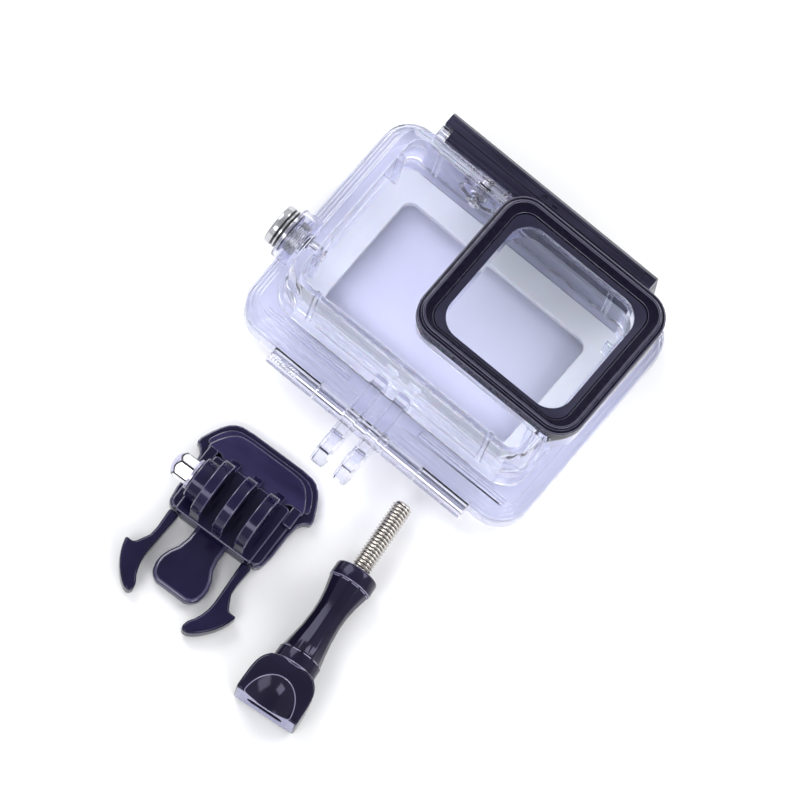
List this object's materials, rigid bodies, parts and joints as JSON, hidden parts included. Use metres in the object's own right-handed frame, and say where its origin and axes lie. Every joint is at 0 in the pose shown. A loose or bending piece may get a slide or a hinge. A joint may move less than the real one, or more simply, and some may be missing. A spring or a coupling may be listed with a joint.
{
  "type": "clear waterproof camera housing",
  "caption": "Clear waterproof dive housing with black lens bezel, latch and side button, with its loose three-prong buckle and thumb screw.",
  "frame": {"origin": "centre of the back door's outer face, on the surface the housing lies on", "axes": "+X along the case's width towards the lens port's side, +Y towards the latch, +Z out of the lens port"},
  "size_m": [0.0883, 0.1393, 0.043],
  "materials": {
    "clear_case": "clear polished polycarbonate",
    "silicone": "matte translucent white silicone",
    "port_glass": "polished flat glass",
    "black_trim": "gloss black",
    "grey_ring": "satin dark grey",
    "black_rubber": "matte black rubber",
    "latch_black": "satin black plastic",
    "steel_pin": "bright steel",
    "button_metal": "bright plated metal",
    "spring_steel": "drawn spring wire",
    "buckle_black": "satin purple-black plastic",
    "knob_black": "gloss black plastic",
    "nut_steel": "bright plated steel",
    "thread_steel": "rolled thread"
  },
  "bodies": {
    "door": {"back_door": "clear_case", "door_seal": "silicone"},
    "shell": {"front_shell": "clear_case", "port_gasket": "black_rubber", "port_glass": "port_glass", "port_inner_ring": "grey_ring", "port_bezel": "black_trim", "hinge_pin": "steel_pin", "latch_pin": "steel_pin", "side_button_seal": "black_rubber", "side_button_spring": "spring_steel", "shutter_button_seal": "black_rubber", "shutter_button_spring": "spring_steel"},
    "latch": {"latch_lever": "latch_black"},
    "lock": {"latch_lock": "latch_black"},
    "side_button": {"side_button_cap": "button_metal", "side_button_shaft": "steel_pin", "side_button_clip": "spring_steel"},
    "shutter_button": {"shutter_button_cap": "button_metal", "shutter_button_shaft": "steel_pin", "shutter_button_clip": "spring_steel"},
    "buckle": {"buckle_base": "buckle_black", "acorn_nut": "nut_steel"},
    "arm_left": {"buckle_arm_left": "buckle_black"},
    "arm_right": {"buckle_arm_right": "buckle_black"},
    "thumb_screw": {"screw_knob": "knob_black", "screw_rod": "thread_steel"}
  },
  "joints": [
    {"name": "shell_open", "type": "hinge", "parent": "door", "child": "shell", "pos_m": [0.001, -0.0346, 0.0056], "axis": [1, 0, 0], "range_deg": [0, 80]},
    {"name": "latch_open", "type": "hinge", "parent": "shell", "child": "latch", "pos_m": [0.001, 0.0275, 0.0296], "axis": [1, 0, 0], "range_deg": [0, 75]},
    {"name": "lock_slide", "type": "slide", "parent": "latch", "child": "lock", "axis": [1, 0, 0], "range_m": [0, 0.003]},
    {"name": "side_button_press", "type": "slide", "parent": "shell", "child": "side_button", "axis": [1, 0, 0], "range_m": [0, 0.0018], "stiffness_N_per_m": 300, "springref_m": -0.001, "deforming": ["side_button_spring"]},
    {"name": "shutter_button_press", "type": "slide", "parent": "shell", "child": "shutter_button", "axis": [0, -1, 0], "range_m": [0, 0.0015], "stiffness_N_per_m": 300, "springref_m": -0.001, "deforming": ["shutter_button_spring"]},
    {"name": "buckle_lift", "type": "slide", "parent": "door", "child": "buckle", "axis": [0, -0.96, 0.28], "range_m": [0, 0.04]},
    {"name": "arm_left_flex", "type": "hinge", "parent": "buckle", "child": "arm_left", "pos_m": [-0.02091, -0.07864, 0.002], "axis": [0, 0, 1], "range_deg": [0, 7], "stiffness_Nm_per_rad": 0.01},
    {"name": "arm_right_flex", "type": "hinge", "parent": "buckle", "child": "arm_right", "pos_m": [0.00006, -0.07754, 0.002], "axis": [0, 0, -1], "range_deg": [0, 7], "stiffness_Nm_per_rad": 0.01},
    {"name": "thumb_screw_lift", "type": "slide", "parent": "door", "child": "thumb_screw", "axis": [0, -0.96, 0.28], "range_m": [0, 0.04]}
  ]
}
